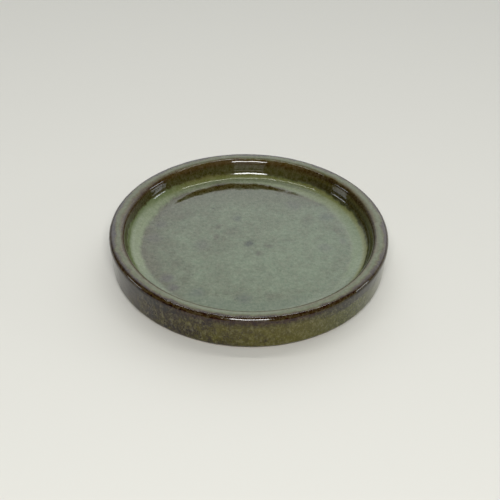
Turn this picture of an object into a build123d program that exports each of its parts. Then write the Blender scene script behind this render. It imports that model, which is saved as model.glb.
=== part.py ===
from build123d import *
from math import atan2, hypot, pi, tan
import os

# A glazed stoneware plant saucer: a round tray with a thick, nearly upright rim, which catches
# the water that drains from a pot. It is one piece of fired clay under one coat of glaze.
# Millimetres, +Z up. The origin is on the ground, under the centre of the foot.

# The tray, measured over its glaze
rim_diameter = 180.0
overall_height = 25.0
rim_width = 9.5
outer_lean = 2.0            # how far the outside leans out from foot to rim
inner_lean = 2.7            # how far the inside leans out from floor to rim
outer_lip_radius = 3.0
inner_lip_radius = 4.25

# The well's floor rises in a shallow ring, where the glaze pools, before it turns up the wall
pool_width = 7.8
pool_rise = 2.25
pool_radius = 23.0          # the sweep from the flat floor to the ring's slope
cove_radius = 7.5           # the sweep from the ring's slope up into the wall

# The floor and the foot ring under it
floor_thickness = 8.2
foot_recess_depth = 3.5
foot_width = 13.0           # from the base's outer edge in to the recess
base_edge_radius = 3.8
recess_cove_radius = 1.6
foot_inner_edge_radius = 0.8

# The glaze. It stops just above the foot, which is wiped bare so that it can't stick to the
# kiln shelf. It draws back from the lips, so they are thinly covered, and pools in the cove.
glaze_thickness = 0.6
bare_foot_height = 0.8
lip_thinning_share = 0.5    # of the coat: how much sharper than an even coat's the clay lips are
cove_pooling_share = 1.5    # of the coat: how much tighter than the glaze the clay cove is

# A rounding takes at most this share of the straight run that carries it
rounding_share = 0.47
cove_share = 0.6            # the cove, of the ring's slope
two_roundings_share = 0.97  # two roundings together, of the run between them

# Sizes that follow from those above
rim_radius = rim_diameter / 2
base_radius = rim_radius - outer_lean
foot_inner_radius = base_radius - foot_width
floor_height = foot_recess_depth + floor_thickness
well_mouth_radius = rim_radius - rim_width
well_floor_radius = well_mouth_radius - inner_lean
well_depth = overall_height - floor_height
pool_outer_radius = well_floor_radius + inner_lean * pool_rise / well_depth
pool_inner_radius = pool_outer_radius - pool_width

# The inner wall and the ring's slope, and how far the section turns at their ends. A rounding
# takes its radius times the tangent of half the turn from each run beside it.
wall_run = hypot(inner_lean, well_depth) * (1 - pool_rise / well_depth)
slope_run = hypot(pool_width, pool_rise)
lip_turn = pi / 2 - atan2(inner_lean, well_depth)
pool_turn = atan2(pool_rise, pool_width)
cove_turn = lip_turn - pool_turn


def limited(radius, *rooms):
    """The radius, or the most that the straight runs beside it leave room for."""
    return min(radius, *[rounding_share * room for room in rooms])


outer_lip = limited(outer_lip_radius, rim_width, overall_height)
inner_lip = limited(inner_lip_radius, rim_width, wall_run / tan(lip_turn / 2))
lip_takes = inner_lip * tan(lip_turn / 2)
cove_room = min(cove_share * slope_run, two_roundings_share * wall_run - lip_takes)
cove = min(cove_radius, cove_room / tan(cove_turn / 2))
cove_takes = cove * tan(cove_turn / 2)
pool_room = two_roundings_share * slope_run - cove_takes
pool = min(pool_radius, pool_room / tan(pool_turn / 2))
base_edge = limited(base_edge_radius, foot_width, overall_height)
recess_cove = limited(recess_cove_radius, foot_recess_depth)
foot_inner_edge = limited(foot_inner_edge_radius, foot_width, foot_recess_depth)


def half_section(coat=0):
    """Half of the tray's section, drawn in from the glazed surface by the coat's thickness."""
    lip_step = coat * (1 + lip_thinning_share)
    cove_step = coat * cove_pooling_share
    corners_and_roundings = [
        ((0, foot_recess_depth), 0),
        ((foot_inner_radius, foot_recess_depth), recess_cove),
        ((foot_inner_radius, 0), foot_inner_edge),
        ((base_radius - coat, 0), max(base_edge - coat, 0)),
        ((rim_radius - coat, overall_height - coat), max(outer_lip - lip_step, 0)),
        ((well_mouth_radius + coat, overall_height - coat), max(inner_lip - lip_step, 0)),
        ((pool_outer_radius + coat, floor_height + pool_rise - coat), max(cove - cove_step, 0)),
        ((pool_inner_radius, floor_height - coat), pool),
        ((0, floor_height - coat), 0),
    ]
    corners = [corner for corner, rounding in corners_and_roundings]
    roundings = [rounding for corner, rounding in corners_and_roundings]
    return make_face(Plane.XZ * FilletPolyline(*corners, radius=roundings, close=True))


def clay_body():
    """The fired clay: floor, rim and foot ring in one piece."""
    return revolve(half_section(glaze_thickness), Axis.Z)


def glaze_coat():
    """The glaze: a thin glassy skin over the floor, the rim and the outside, down to the foot."""
    bare_foot = Plane.XZ * Rectangle(2 * rim_diameter, 2 * bare_foot_height)
    coat_section = half_section() - half_section(glaze_thickness) - bare_foot
    return revolve(coat_section, Axis.Z)


pieces = {"clay_body": clay_body(), "glaze_coat": glaze_coat()}

os.makedirs("parts", exist_ok=True)
for name, piece in pieces.items():
    piece.label = name
    export_step(piece, f"parts/{name}.step")
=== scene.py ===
import math

import bpy
from mathutils import Matrix, Vector


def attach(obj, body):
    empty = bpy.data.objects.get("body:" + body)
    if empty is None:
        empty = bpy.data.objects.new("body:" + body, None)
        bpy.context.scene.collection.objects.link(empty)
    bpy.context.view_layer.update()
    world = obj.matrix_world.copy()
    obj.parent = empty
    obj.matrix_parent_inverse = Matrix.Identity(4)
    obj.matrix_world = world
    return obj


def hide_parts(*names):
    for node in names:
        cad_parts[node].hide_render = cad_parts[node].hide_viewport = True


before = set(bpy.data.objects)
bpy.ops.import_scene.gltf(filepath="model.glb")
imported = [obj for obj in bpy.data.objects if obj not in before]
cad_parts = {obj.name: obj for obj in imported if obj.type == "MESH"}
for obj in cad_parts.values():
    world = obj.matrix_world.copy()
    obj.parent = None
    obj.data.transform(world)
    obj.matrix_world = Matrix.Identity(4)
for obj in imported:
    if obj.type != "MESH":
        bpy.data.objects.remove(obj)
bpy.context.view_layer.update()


# The clay body: floor, rim and foot ring of the saucer, one piece of buff stoneware. It is
# turned from a plastic clay, so it is round about its axis, and fired bare where it stands.
# The glaze hides all of it but the foot and the recess under the floor.

MM = 0.001                  # the sizes are in mm, and the upper ones are taken over the glaze

rim_radius = 90.0
overall_height = 25.0
rim_width = 9.5
outer_lean = 2.0
inner_lean = 2.7
outer_lip = 3.0
inner_lip = 4.25

floor_height = 11.7
pool_width = 7.8
pool_rise = 2.25
pool_sweep = 23.0
cove = 7.5

foot_width = 13.0
foot_recess_depth = 3.5
base_edge = 3.8
recess_cove = 1.6
foot_inner_edge = 0.8

glaze_thickness = 0.6
sharper_share = 1.5         # of the coat: how much sharper the clay's lips and cove are

base_radius = rim_radius - outer_lean
foot_inner_radius = base_radius - foot_width
well_mouth_radius = rim_radius - rim_width
well_floor_radius = well_mouth_radius - inner_lean
pool_outer_radius = well_floor_radius + inner_lean * pool_rise / (overall_height - floor_height)
pool_inner_radius = pool_outer_radius - pool_width


def upper_corners(coat):
    """Corners (radius, height, rounding) from the foot over the rim to the middle of the well."""
    sharper = sharper_share * coat
    return [
        (base_radius - coat, 0, base_edge - coat),
        (rim_radius - coat, overall_height - coat, outer_lip - sharper),
        (well_mouth_radius + coat, overall_height - coat, inner_lip - sharper),
        (pool_outer_radius + coat, floor_height + pool_rise - coat, cove - sharper),
        (pool_inner_radius, floor_height - coat, pool_sweep),
        (0, floor_height - coat, 0),
    ]


def rounded(corners, spacing, arc_steps):
    """Points along a run of corners, with its arcs and its straights divided."""
    arcs = []
    for i, (r, z, rounding) in enumerate(corners):
        here = Vector((r, z))
        if i in (0, len(corners) - 1) or rounding <= 0:
            arcs.append([here])
            continue
        back = (Vector(corners[i - 1][:2]) - here).normalized()
        on = (Vector(corners[i + 1][:2]) - here).normalized()
        half = back.angle(on) / 2
        centre = here + (back + on).normalized() * rounding / math.sin(half)
        first = here + back * rounding / math.tan(half) - centre
        last = here + on * rounding / math.tan(half) - centre
        swept = math.atan2(first.x * last.y - first.y * last.x, first.dot(last))
        arcs.append([centre + Matrix.Rotation(swept * k / arc_steps, 2) @ first
                     for k in range(arc_steps + 1)])
    points = []
    for arc, following in zip(arcs, arcs[1:] + [None]):
        points += arc
        if following:
            run = following[0] - arc[-1]
            steps = max(1, round(run.length / spacing))
            points += [arc[-1] + run * k / steps for k in range(1, steps)]
    return points


def section_mesh(name, points, values):
    """A section as a line of edges in the XZ plane, in metres, with named values at its points."""
    mesh = bpy.data.meshes.new(name)
    mesh.from_pydata([(p.x * MM, 0, p.y * MM) for p in points],
                     [(k, k + 1) for k in range(len(points) - 1)], [])
    for value_name, numbers in values.items():
        mesh.attributes.new(value_name, "FLOAT", "POINT").data.foreach_set("value", numbers)
    return mesh


def linear(hex_colour):
    """A colour written as sRGB hex, as the linear RGBA that a shader takes."""
    parts = [int(hex_colour[i:i + 2], 16) / 255 for i in (1, 3, 5)]
    return [c / 12.92 if c <= 0.04045 else ((c + 0.055) / 1.055) ** 2.4 for c in parts] + [1.0]


def node(tree, kind, settings=(), *inputs, **named_inputs):
    """Adds a node. Its inputs, in their order or by name, are values, other nodes or outputs."""
    made = tree.nodes.new(kind)
    for key, value in dict(settings).items():
        if key == "stops":
            band = made.color_ramp.elements
            band[0].position, band[-1].position = value[0][0], value[-1][0]
            for place, colour in value[1:-1]:
                band.new(place)
            for stop, (place, colour) in zip(band, value):
                stop.color = linear(colour)
        else:
            setattr(made, key, value)
    sockets = [socket for socket in made.inputs if socket.enabled]
    by_name = {socket.name: socket for socket in reversed(sockets)}
    given_to = list(zip(sockets, inputs))
    given_to += [(by_name[name.replace("_", " ")], value) for name, value in named_inputs.items()]
    for socket, value in given_to:
        if isinstance(value, bpy.types.Node):
            value = next(output for output in value.outputs if output.enabled)
        if isinstance(value, bpy.types.NodeSocket):
            tree.links.new(value, socket)
        else:
            socket.default_value = value
    return made


# The wheel that turns both pieces: it repeats a section round the axis and closes the seam,
# gives the skin the low waves of a melted glaze, lets the coat's bottom edge wander, and has
# the ring round the well's floor dip and rise, as the potter's hands never leave it level.
seam_gap = 1e-6             # in metres: points of the first and the last turn this close are one
ring_dips = 3.0             # how often the ring dips on its way round
edge_seed_step = 7.0        # from the seed of the skin's waves to that of the bottom edge
wheel = bpy.data.node_groups.new("wheel", "GeometryNodeTree")
for socket_name, kind in (("Section", "Geometry"), ("Turns", "Int"), ("Wave height", "Float"),
                          ("Wave length", "Float"), ("Edge height", "Float"),
                          ("Edge length", "Float"), ("Ring height", "Float"),
                          ("Ring phase", "Float"), ("Seed", "Float"), ("Finish", "Material")):
    wheel.interface.new_socket(socket_name, in_out="INPUT", socket_type="NodeSocket" + kind)
wheel.interface.new_socket("Piece", in_out="OUTPUT", socket_type="NodeSocketGeometry")
given = node(wheel, "NodeGroupInput").outputs

count = node(wheel, "GeometryNodeAttributeDomainSize", (), given["Section"]).outputs["Point Count"]
grid = node(wheel, "GeometryNodeMeshGrid", Vertices_X=given["Turns"], Vertices_Y=count)
index = node(wheel, "GeometryNodeInputIndex")
column = node(wheel, "ShaderNodeMath", {"operation": "MODULO"}, index, count)
row = node(wheel, "ShaderNodeMath", {"operation": "DIVIDE"}, index, count)
row = node(wheel, "ShaderNodeMath", {"operation": "FLOOR"}, row)
last_row = node(wheel, "ShaderNodeMath", {"operation": "SUBTRACT"}, given["Turns"], 1.0)
share = node(wheel, "ShaderNodeMath", {"operation": "DIVIDE"}, row, last_row)
angle = node(wheel, "ShaderNodeMath", {"operation": "MULTIPLY"}, share, 2 * math.pi)

place = node(wheel, "GeometryNodeInputPosition")
drawn = node(wheel, "GeometryNodeSampleIndex", {"data_type": "FLOAT_VECTOR", "domain": "POINT"},
             Geometry=given["Section"], Value=place, Index=column)
spun = node(wheel, "ShaderNodeVectorRotate", {"rotation_type": "Z_AXIS"}, Vector=drawn, Angle=angle)
turned = node(wheel, "GeometryNodeSetPosition", Geometry=grid, Position=spun)
sampled = {}
for value_name in ("along", "skin", "edge", "ring"):
    value = node(wheel, "GeometryNodeInputNamedAttribute", {"data_type": "FLOAT"}, Name=value_name)
    sampled[value_name] = node(wheel, "GeometryNodeSampleIndex",
                               {"data_type": "FLOAT", "domain": "POINT"},
                               Geometry=given["Section"], Value=value, Index=column)
    turned = node(wheel, "GeometryNodeStoreNamedAttribute",
                  {"data_type": "FLOAT", "domain": "POINT"},
                  Geometry=turned, Name=value_name, Value=sampled[value_name])
lobes = node(wheel, "ShaderNodeMath", {"operation": "MULTIPLY_ADD"}, angle, ring_dips,
             given["Ring phase"])
lobes = node(wheel, "ShaderNodeMath", {"operation": "COSINE"}, lobes)
lobes = node(wheel, "ShaderNodeMath", {"operation": "MULTIPLY"}, lobes, given["Ring height"])
lobes = node(wheel, "ShaderNodeMath", {"operation": "MULTIPLY"}, lobes, sampled["ring"])
turned = node(wheel, "GeometryNodeSetPosition", Geometry=turned,
              Offset=node(wheel, "ShaderNodeCombineXYZ", Z=lobes))
closed = node(wheel, "GeometryNodeMergeByDistance", Geometry=turned, Distance=seam_gap)

pushes = []
for kind, value_name, seed_step in (("Wave", "skin", 0.0), ("Edge", "edge", edge_seed_step)):
    scale = node(wheel, "ShaderNodeMath", {"operation": "DIVIDE"}, 1.0, given[kind + " length"])
    seed = node(wheel, "ShaderNodeMath", {"operation": "ADD"}, given["Seed"], seed_step)
    noise = node(wheel, "ShaderNodeTexNoise", {"noise_dimensions": "4D"}, Vector=place, W=seed,
                 Scale=scale, Detail=2.0)
    push = node(wheel, "ShaderNodeMath", {"operation": "SUBTRACT"}, noise, 0.5)
    push = node(wheel, "ShaderNodeMath", {"operation": "MULTIPLY"}, push, given[kind + " height"])
    value = node(wheel, "GeometryNodeInputNamedAttribute", {"data_type": "FLOAT"}, Name=value_name)
    pushes.append(node(wheel, "ShaderNodeMath", {"operation": "MULTIPLY"}, push, value))
normal = node(wheel, "GeometryNodeInputNormal")
outward = node(wheel, "ShaderNodeVectorMath", {"operation": "SCALE"}, Vector=normal,
               Scale=pushes[0])
downward = node(wheel, "ShaderNodeCombineXYZ", Z=pushes[1])
shift = node(wheel, "ShaderNodeVectorMath", {"operation": "ADD"}, outward, downward)
waved = node(wheel, "GeometryNodeSetPosition", Geometry=closed, Offset=shift)
smooth = node(wheel, "GeometryNodeSetShadeSmooth", Geometry=waved)
real = node(wheel, "GeometryNodeRealizeInstances", Geometry=smooth)
finished = node(wheel, "GeometryNodeSetMaterial", Geometry=real, Material=given["Finish"])
node(wheel, "NodeGroupOutput", Piece=finished)


def turned_piece(name, section, sizes):
    """The piece that the wheel makes of a section, as a plain mesh at the origin."""
    piece = bpy.data.objects.new(name, section)
    bpy.context.scene.collection.objects.link(piece)
    turning = piece.modifiers.new("wheel", "NODES")
    turning.node_group = wheel
    for item in wheel.interface.items_tree:
        if item.in_out == "INPUT" and item.name in sizes:
            turning[item.identifier] = sizes[item.name]
    depsgraph = bpy.context.evaluated_depsgraph_get()
    mesh = bpy.data.meshes.new_from_object(piece.evaluated_get(depsgraph), depsgraph=depsgraph,
                                           preserve_all_data_layers=True)
    piece.modifiers.clear()
    piece.data = mesh
    mesh.name = name
    return piece


# Stoneware fired bare: a buff clay with fine grog, matte and a little gritty. The trimming
# tool leaves shallow rings in the recess, and iron in the clay burns to small dark specks.
flush_size = 22 * MM        # of the warmer and paler patches that the kiln's flames leave
iron_spacing = 2.4 * MM
grit_size = 0.6 * MM
ring_spacing = 2.2 * MM
wave_pace = 20.0            # how many radians a wave texture turns in one of its units
bare_stoneware = bpy.data.materials.new("bare_turned_stoneware")
bare_stoneware.use_nodes = True
tree = bare_stoneware.node_tree
tree.nodes.clear()
where = node(tree, "ShaderNodeTexCoord").outputs["Object"]
flush = node(tree, "ShaderNodeTexNoise", Vector=where, Scale=1 / flush_size, Detail=3.0)
clay = node(tree, "ShaderNodeValToRGB",
            {"stops": [(0.3, "#A8835F"), (0.5, "#B8946E"), (0.7, "#C6A682")]}, flush)
iron = node(tree, "ShaderNodeTexVoronoi", Vector=where, Scale=1 / iron_spacing, Randomness=1.0)
speck = node(tree, "ShaderNodeMapRange", (), iron, 0.10, 0.16, 1.0, 0.0)
specked = node(tree, "ShaderNodeMix", {"data_type": "RGBA"}, speck, clay, linear("#5A3B26"))
grit = node(tree, "ShaderNodeTexNoise", Vector=where, Scale=1 / grit_size, Detail=2.0)
rings = node(tree, "ShaderNodeTexWave", {"wave_type": "RINGS", "rings_direction": "Z"},
             Vector=where, Scale=2 * math.pi / (wave_pace * ring_spacing), Distortion=0.6,
             Detail=1.0)
ringed = node(tree, "ShaderNodeBump", Height=rings, Distance=0.10 * MM)
gritty = node(tree, "ShaderNodeBump", Height=grit, Distance=0.06 * MM, Normal=ringed)
shader = node(tree, "ShaderNodeBsdfPrincipled", Base_Color=specked, Roughness=0.86, IOR=1.5,
              Normal=gritty)
node(tree, "ShaderNodeOutputMaterial", Surface=shader)

under_corners = [
    (0, foot_recess_depth, 0),
    (foot_inner_radius, foot_recess_depth, recess_cove),
    (foot_inner_radius, 0, foot_inner_edge),
]
clay_points = rounded(under_corners + upper_corners(glaze_thickness), spacing=3.0, arc_steps=8)
zeros = [0.0] * len(clay_points)
clay_section = section_mesh("clay_section", clay_points,
                            {"along": zeros, "skin": zeros, "edge": zeros, "ring": zeros})
clay_body = turned_piece("stoneware_body", clay_section,
                         {"Turns": 361, "Wave height": 0.0, "Wave length": 10 * MM,
                          "Edge height": 0.0, "Edge length": 10 * MM, "Ring height": 0.0,
                          "Ring phase": 0.0, "Seed": 0.0, "Finish": bare_stoneware})
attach(clay_body, "root")
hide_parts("clay_body")


# The glaze: one glossy green coat, poured and dipped, then melted in the kiln to a skin of
# glass. It pulls thin over the lips, where the brown of the clay breaks through, and runs
# down into the cove, where it pools to a pale ring. It ends just above the foot.

bare_foot = 0.8


def glaze_side(coat, spacing, arc_steps):
    """Points of one side of the coat, from its bottom edge over the rim to the well's middle."""
    points = rounded([(0, 0, 0)] + upper_corners(coat), spacing, arc_steps)
    first = next(k for k, p in enumerate(points) if p.y > bare_foot)
    below, above = points[first - 1], points[first]
    return [below.lerp(above, (bare_foot - below.y) / (above.y - below.y))] + points[first:]


outer_side = glaze_side(0, spacing=1.25, arc_steps=14)
inner_side = glaze_side(glaze_thickness, spacing=6.0, arc_steps=6)
# the melt draws its bottom edge round: half a circle from the inner side to the outer one
edge_middle = (outer_side[0] + inner_side[0]) / 2
edge_half = inner_side[0] - edge_middle
bottom_edge = [edge_middle + Matrix.Rotation(math.pi * k / 4, 2) @ edge_half for k in (1, 2, 3)]
glaze_points = outer_side + inner_side[::-1] + bottom_edge + outer_side[:1]

# Lengths along the section, in mm from the coat's bottom edge, and what the wheel does there
run = [0.0]
for before, after in zip(outer_side, outer_side[1:]):
    run.append(run[-1] + (after - before).length)
hidden = [0.0] * (len(glaze_points) - len(run) - 1)     # the side that lies against the clay
settles = (51.0, 59.0)      # where the walls' waves give way to the floor's
floor_share = 0.40          # how much of the walls' waves the level floor of the well has
calm_middle = 14.0          # the floor's waves fade out this near to the wheel's axis
ring_middle = 49.0
ring_reach = 6.0            # how far the ring's dips reach to each side of its middle
edge_reach = 4.0            # how far up the bottom edge's wandering reaches
skin = []
for point, distance in zip(outer_side, run):
    settled = min(1.0, max(0.0, (distance - settles[0]) / (settles[1] - settles[0])))
    skin.append((1 - (1 - floor_share) * settled) * min(1.0, point.x / calm_middle))
glaze_section = section_mesh("glaze_section", glaze_points, {
    "ring": [math.cos(math.pi / 2 * min(1.0, abs(distance - ring_middle) / ring_reach)) ** 2
             for distance in run] + hidden + [0.0],
    "along": run + hidden + [0.0],
    "skin": skin + hidden + [1.0],
    "edge": [max(0.0, 1.0 - distance / edge_reach) for distance in run] + hidden + [1.0],
})

glaze = bpy.data.materials.new("green_glaze_poured_and_fired")
glaze.use_nodes = True
tree = glaze.node_tree
tree.nodes.clear()
where = node(tree, "ShaderNodeTexCoord").outputs["Object"]
along = node(tree, "ShaderNodeAttribute", {"attribute_name": "along"}).outputs["Fac"]


def mottle(size, seed, detail=2.0, roughness=0.5, drawn_out=1.0):
    """Cloudy patches of a size in mm, drawn out down the walls: a value about zero."""
    sized = node(tree, "ShaderNodeMapping", Vector=where, Location=(seed, 2 * seed, 3 * seed),
                 Scale=[share / (size * MM) for share in (1, 1, 1 / drawn_out)])
    noise = node(tree, "ShaderNodeTexNoise", Vector=sized, Scale=1.0, Detail=detail,
                 Roughness=roughness)
    return node(tree, "ShaderNodeMath", {"operation": "SUBTRACT"}, noise, 0.5)


def added_up(start, *terms):
    """A start value with terms added, each as (how much of it, value)."""
    total = start
    for amount, value in terms:
        total = node(tree, "ShaderNodeMath", {"operation": "MULTIPLY_ADD"}, value, amount, total)
    return total


def patch(*edges):
    """One inside a patch and zero outside. An edge is a value, where it gives 0 and where 1."""
    inside = 1.0
    for value, outer_end, inner_end in edges:
        edge = node(tree, "ShaderNodeMapRange", {"interpolation_type": "SMOOTHSTEP"}, value,
                    outer_end, inner_end)
        inside = node(tree, "ShaderNodeMath", {"operation": "MULTIPLY"}, edge, inside)
    return inside


def stained(under, tint, strength, *edges):
    """A colour with a tint over it inside a patch, as much of it as its strength says."""
    laid = node(tree, "ShaderNodeMath", {"operation": "MULTIPLY"}, patch(*edges), strength)
    return node(tree, "ShaderNodeMix", {"data_type": "RGBA"}, laid, under, linear(tint))


# The coat's colours along the section, in mm from its bottom edge: where it lies thick, and
# where it lies thin, so that the iron of the clay burns through it, most of all on the lips
coat_span = 130.0
coat_colours = [
    (0.0, "#343008", "#140800"), (1.5, "#4E4A0C", "#1E0E00"), (16.2, "#4E480A", "#1E0E00"),
    (18.8, "#423C04", "#201200"), (20.8, "#362A00", "#221000"), (22.0, "#2C1600", "#200C00"),
    # the paler stop at 23.8 mm, on the crown of the outer lip, is a painted reflection: a faint
    # band of light
    (22.8, "#281400", "#200A00"), (23.8, "#382E14", "#362A10"), (25.2, "#261400", "#1E0E00"),
    (26.2, "#302204", "#261802"), (27.2, "#444214", "#3E3A0C"), (28.2, "#505738", "#464A28"),
    (29.5, "#4A4D2A", "#444622"), (31.0, "#48421C", "#443A10"), (32.0, "#423616", "#382A0A"),
    (33.5, "#403414", "#342208"), (36.0, "#463F1F", "#3E3618"), (38.0, "#454221", "#3F3B1D"),
    (40.8, "#403D1C", "#3A361A"), (44.0, "#5A674C", "#44482E"), (48.0, "#57634A", "#3E3C22"),
    (54.0, "#57634A", "#43442B"), (62.0, "#59664C", "#454A30"),
]
side = node(tree, "ShaderNodeSeparateXYZ", (), where).outputs
to_right, to_back = side["X"], side["Y"]        # from the axis, in metres
sideways = node(tree, "ShaderNodeMath", {"operation": "ABSOLUTE"}, to_right)
drifted = added_up(along, (5.0, mottle(16, seed=3.0)), (3.5, mottle(4, seed=5.0)))
drifted_share = node(tree, "ShaderNodeMath", {"operation": "DIVIDE"}, drifted, coat_span)
thick, thin = [
    node(tree, "ShaderNodeValToRGB",
         {"stops": [(stop[0] / coat_span, stop[column]) for stop in coat_colours]},
         drifted_share)
    for column in (1, 2)]
# on the right of the outer wall it is a duller olive
thick = stained(thick, "#46481C", 1.0, (along, 24, 20), (to_right, 0.03, 0.07))
# it lies thicker to the right, most of all on the outer wall, and thinner to the back and at
# the floor's edge
wall = patch((along, 24, 20))
wall_to_right = node(tree, "ShaderNodeMath", {"operation": "MULTIPLY"}, wall, to_right)
floor_edge = patch((along, 78, 58), (along, 46, 52))
thinness = added_up(0.36, (-5.5, to_right), (-4.0, wall_to_right), (2.3, to_back),
                    (0.26, floor_edge), (1.0, mottle(24, seed=7.0)), (1.2, mottle(7, seed=9.0)),
                    (1.5, mottle(3, seed=11.0, detail=3.0, roughness=0.75, drawn_out=1.8)))
thinness = node(tree, "ShaderNodeClamp", (), thinness, 0.0, 1.05)
unpooled = node(tree, "ShaderNodeMix", {"data_type": "RGBA", "clamp_factor": False}, thinness,
                thick, thin)
# the break under the lip is darker at both sides; this darkening is painted shade, for the dim
# floor these sides reflect
unpooled = stained(unpooled, "#180C00", 0.85, (sideways, 0.03, 0.065), (drifted, 14.5, 17.5),
                   (drifted, 23.6, 22.4))
# beyond the pool at the back the coat ran thin: the floor's edge is brown, then dull. At the back
# the inside of the lip is a lighter brown
unpooled = stained(unpooled, "#484D34", 0.85, (to_back, 0.036, 0.054), (along, 57, 61),
                   (along, 84, 69))
unpooled = stained(unpooled, "#382C0A", 0.75, (to_back, 0.040, 0.062), (drifted, 61, 53),
                   (drifted, 44, 48))
unpooled = stained(unpooled, "#443619", 0.8, (to_back, 0.050, 0.070), (along, 31.4, 32.4),
                   (along, 35.0, 34.0))
# inside, to the right, it is darkest under the lip and above the cove
for above, below in (((31.0, 32.2), (36.0, 34.0)), ((36.5, 38.5), (45.6, 43.4))):
    unpooled = stained(unpooled, "#221A02", 0.62, (to_right, 0.022, 0.055), (along, *above),
                       (along, *below))
# in front it stayed thickest and palest on the rim's flat top, and the floor's edge is darker
unpooled = stained(unpooled, "#5E664C", 0.7, (to_back, -0.058, -0.082), (to_right, 0.04, 0.005),
                   (along, 27.7, 28.7), (along, 30.8, 29.8))
unpooled = stained(unpooled, "#4C5840", 0.9, (to_back, -0.045, -0.062), (along, 52, 54),
                   (along, 66, 59))

# The pool in the cove. The coat ran a little further to the right, so the ring is wider there.
pool_run = 140.0
pooled = node(tree, "ShaderNodeValToRGB", {"stops": [
    (41.5 / pool_run, "#54502A"), (43.5 / pool_run, "#61633A"), (46.0 / pool_run, "#61683A"),
    (48.0 / pool_run, "#656E47"), (50.5 / pool_run, "#6B7353"), (54.0 / pool_run, "#60694E"),
]}, node(tree, "ShaderNodeMath", {"operation": "DIVIDE"}, along, pool_run))
# it is even at the left, greener at the right, and darker at the back and in front
pooled = stained(pooled, "#616B48", 1.0, (to_right, -0.035, -0.065))
pooled = stained(pooled, "#576746", 0.75, (to_right, 0.045, 0.068), (to_back, 0.05, 0.02),
                 (along, 45.5, 47.5), (along, 54.0, 51.5))
pooled = stained(pooled, "#4A5030", 0.7, (to_back, 0.045, 0.065), (along, 44.6, 46.2),
                 (along, 49.0, 47.8))
# in front, just past the front lip's edge, the darker pool is painted shade
pooled = stained(pooled, "#465238", 0.65, (to_back, -0.015, -0.050), (along, 45.2, 47.5))
# its edges wander, towards the floor and up the wall, and it is narrower at the back left
back_left = patch((to_back, 0.030, 0.050), (to_right, 0.015, -0.015))
beyond = added_up(along, (-24.0, to_right), (-21.0, sideways), (5.0, mottle(14, seed=13.0)),
                  (1.8, mottle(3, seed=15.0)), (2.2, back_left))
pool_top = added_up(drifted, (-20.0, to_right))
colour = node(tree, "ShaderNodeMix", {"data_type": "RGBA"},
              patch((beyond, 52.6, 49.0), (pool_top, 41.0, 42.8)), unpooled, pooled)

# Blotches on the floor of the well, by place and size in mm: iron burnt through in purple and
# brown, slate where the coat crawled, and a dark eye where the wheel left the clay's middle
blotches = [
    ("#3A3432", 0.60, [(-50, -37, 7), (-46, -46, 5)]),
    ("#3A3432", 0.35, [(49, -2, 7), (30, 45, 9), (61, 6, 4), (-30, -2, 8), (-62, 4, 8),
                       (-58, 20, 6)]),
    ("#302A0C", 0.65, [(-21, 7, 4), (-20, 19, 4), (13, -1, 4), (7, -10, 4)]),
    ("#302A0C", 0.35, [(59, 18, 5), (40, 28, 8), (-44, 30, 8), (14, -53, 6), (-10, 14, 9)]),
    ("#303830", 0.45, [(-31, -50, 7), (52, 32, 7), (-2, -55, 7), (-8, 28, 5)]),
    ("#181E08", 0.75, [(0.5, 0.5, 5.0), (45, 19.5, 1.5), (-36, -33, 1.3), (-24, 40, 1.2)]),
]
torn_by = 5 * MM            # the size of the notches in their outlines
solid_share = 0.2           # of a blotch's radius: within it the tint has its full strength
torn = node(tree, "ShaderNodeTexNoise", Vector=where, Scale=1 / torn_by, Detail=2.0)
torn = node(tree, "ShaderNodeVectorMath", {"operation": "SUBTRACT"}, torn.outputs["Color"],
            (0.5,) * 3)
torn = node(tree, "ShaderNodeVectorMath", {"operation": "SCALE"}, torn, Scale=torn_by)
torn = node(tree, "ShaderNodeVectorMath", {"operation": "ADD"}, where, torn)
for tint, strength, places in blotches:
    for x, y, radius in places:
        away = node(tree, "ShaderNodeVectorMath", {"operation": "DISTANCE"}, torn,
                    (x * MM, y * MM, floor_height * MM))
        colour = stained(colour, tint, strength,
                         (away, radius * MM, solid_share * radius * MM))

# The grain: fine crystals and bubbles in the glass, closest on the outer wall's two sides
outside_grain = node(tree, "ShaderNodeMapRange", (), along, 18, 22, 0.26, 0.12)
well_grain = node(tree, "ShaderNodeMapRange", (), along, 41, 46, 0.0, 0.05)
wall_sideways = node(tree, "ShaderNodeMath", {"operation": "MULTIPLY"}, wall, sideways)
graininess = added_up(outside_grain, (1.0, well_grain), (2.4, wall_sideways))
grain = node(tree, "ShaderNodeMath", {"operation": "MULTIPLY"}, graininess,
             mottle(2.0, seed=17.0, detail=2.2, roughness=1.0, drawn_out=1.3))
# on the dark walls the grain lightens more than it darkens
deepest = node(tree, "ShaderNodeMapRange", (), along, 41, 46, -0.016, -1.0)
grain = node(tree, "ShaderNodeMath", {"operation": "MAXIMUM"}, grain, deepest)
body_colour = node(tree, "ShaderNodeVectorMath", {"operation": "MULTIPLY_ADD"}, grain,
                   linear("#FFFADC")[:3], colour)
body_colour = node(tree, "ShaderNodeVectorMath", {"operation": "MAXIMUM"}, body_colour,
                   (0.0,) * 3)

# The melt's gloss, a little uneven, and its skin's fine ripple, which is smoothest on the floor
gloss = added_up(0.07, (0.10, mottle(9, seed=19.0)))
peel_size = 2.0 * MM
peel = node(tree, "ShaderNodeTexNoise", Vector=where, Scale=1 / peel_size, Detail=2.0,
            Roughness=0.6)
peel_depth = node(tree, "ShaderNodeMapRange", (), along, 44, 54, 0.050 * MM, 0.008 * MM)
peeled = node(tree, "ShaderNodeBump", Height=peel, Distance=peel_depth)
shader = node(tree, "ShaderNodeBsdfPrincipled", Base_Color=body_colour, Roughness=gloss, IOR=1.5,
              Normal=peeled)
node(tree, "ShaderNodeOutputMaterial", Surface=shader)

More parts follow.
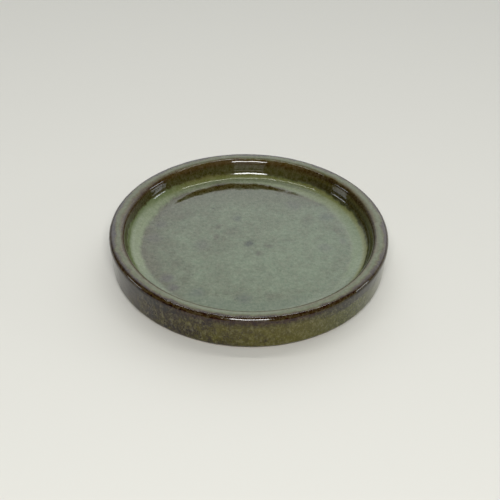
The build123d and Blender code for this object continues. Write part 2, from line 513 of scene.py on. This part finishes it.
glaze_coat = turned_piece("glaze_skin", glaze_section,
                          {"Turns": 481, "Wave height": 0.32 * MM, "Wave length": 6.5 * MM,
                           "Edge height": 0.5 * MM, "Edge length": 9 * MM,
                           "Ring height": 0.20 * MM, "Ring phase": math.radians(189),
                           "Seed": 4.0, "Finish": glaze})
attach(glaze_coat, "root")
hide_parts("glaze_coat")


# The floor that it stands on: a plain, pale, matte sheet.
reach = 30.0
corners = [(-reach, -reach, 0), (reach, -reach, 0), (reach, reach, 0), (-reach, reach, 0)]
floor = bpy.data.objects.new("floor", bpy.data.meshes.new("floor"))
floor.data.from_pydata(corners, [], [(0, 1, 2, 3)])
bpy.context.scene.collection.objects.link(floor)
paper = bpy.data.materials.new("matte_paper")
paper.use_nodes = True
tree = paper.node_tree
tree.nodes.clear()
shader = node(tree, "ShaderNodeBsdfPrincipled", Base_Color=linear("#D0CEC6"), Roughness=0.9,
              Specular_IOR_Level=0.2)
node(tree, "ShaderNodeOutputMaterial", Surface=shader)
floor.data.materials.append(paper)


# The studio: a wide pale screen behind and over the saucer, which the world stands for, and
# lamps in front of it, over it and at both sides.
zenith = 90.0
rows = [(0, "#959595"), (14, "#AEAEAE"), (27, "#FFFFFF"), (36, "#FFFFFF"), (58, "#D8D8D8"),
        (69, "#C6C6C6"), (78, "#808080"), (zenith, "#505050")]      # by degrees of elevation
sides = ((-66.0, -16.0), (88.0, 38.0))      # where it is dark and light, in degrees from behind
closing = (72.0, 84.0)                      # the elevations over which its sides meet
screen_glow = 1.97
room_glow = 0.06
world = bpy.data.worlds.new("studio")
bpy.context.scene.world = world
world.use_nodes = True
tree = world.node_tree
tree.nodes.clear()
way = node(tree, "ShaderNodeSeparateXYZ", (),
           node(tree, "ShaderNodeTexCoord").outputs["Generated"]).outputs
height = node(tree, "ShaderNodeMath", {"operation": "ARCSINE"}, way["Z"])
height = node(tree, "ShaderNodeMath", {"operation": "DIVIDE"}, height, math.pi / 2)
screen_rows = node(tree, "ShaderNodeValToRGB",
                   {"stops": [(degrees / zenith, grey) for degrees, grey in rows]}, height)
around = node(tree, "ShaderNodeMath", {"operation": "ARCTAN2"}, way["X"], way["Y"])
around = node(tree, "ShaderNodeMath", {"operation": "MULTIPLY"}, around, 180 / math.pi)
left_edge, right_edge = [
    node(tree, "ShaderNodeMapRange", {"interpolation_type": "SMOOTHSTEP"}, around, dark, light)
    for dark, light in sides]
screen_columns = node(tree, "ShaderNodeMath", {"operation": "MULTIPLY"}, left_edge, right_edge)
# near the zenith every direction is above the saucer, so the screen has no sides there
overhead = node(tree, "ShaderNodeMapRange", {"interpolation_type": "SMOOTHSTEP"}, height,
                closing[0] / zenith, closing[1] / zenith)
screen_columns = node(tree, "ShaderNodeMath", {"operation": "MAXIMUM"}, screen_columns, overhead)
screen = node(tree, "ShaderNodeMath", {"operation": "MULTIPLY"}, screen_rows, screen_columns)
glow = node(tree, "ShaderNodeMath", {"operation": "MULTIPLY_ADD"}, screen, screen_glow,
            room_glow)
light = node(tree, "ShaderNodeBackground", Color=linear("#F8FCFF"), Strength=glow)
node(tree, "ShaderNodeOutputWorld", Surface=light)


watts_per_radiance = 4.0    # of a square metre of an area lamp


def lamp(name, around, height, distance, width, depth, radiance, tint="#FFFFFF"):
    """A flat lamp that faces the saucer from a compass angle (0 behind it) and an elevation."""
    a, e = math.radians(around), math.radians(height)
    way = Vector((math.sin(a) * math.cos(e), math.cos(a) * math.cos(e), math.sin(e)))
    data = bpy.data.lights.new(name, "AREA")
    data.shape, data.size, data.size_y = "RECTANGLE", width, depth
    data.energy = watts_per_radiance * width * depth * radiance
    data.color = linear(tint)[:3]
    made = bpy.data.objects.new(name, data)
    bpy.context.scene.collection.objects.link(made)
    made.location = way * distance
    made.rotation_mode = "QUATERNION"
    made.rotation_quaternion = way.to_track_quat("Z", "Y")
    made.visible_camera = False


# angle and elevation in degrees, distance, width and depth in metres, and radiance
lamp("softbox", 179, 44.7, 1.6, 0.72, 0.34, 19.5)
lamp("front_card", 179, 12, 1.6, 0.72, 0.22, 1.4)
lamp("tube", 0, 81.0, 1.0, 1.10, 0.026, 18.0)
lamp("right_window", 88, 16, 1.6, 0.38, 0.18, 7.0, "#F2F8FF")
lamp("left_window", -89, 16, 1.6, 0.38, 0.18, 4.5, "#F2F8FF")


# The camera, where the photograph was taken from: 38 degrees up, in front.
camera = bpy.data.objects.new("camera", bpy.data.cameras.new("camera"))
bpy.context.scene.collection.objects.link(camera)
bpy.context.scene.camera = camera
view_elevation = math.radians(38.0)
view_distance = 0.72
frame_roll = 0.0215
back = Vector((0, -math.cos(view_elevation), math.sin(view_elevation)))
camera.location = back * view_distance
camera.rotation_mode = "QUATERNION"
camera.rotation_quaternion = (
    back.to_track_quat("Z", "Y") @ Matrix.Rotation(frame_roll, 3, "Z").to_quaternion())
camera.data.sensor_width = 36.0
camera.data.lens = 78.80
camera.data.shift_x = 0.0034
camera.data.shift_y = 0.0166
camera.data.clip_start, camera.data.clip_end = 0.01, 100.0

bpy.context.scene.view_settings.view_transform = "Standard"
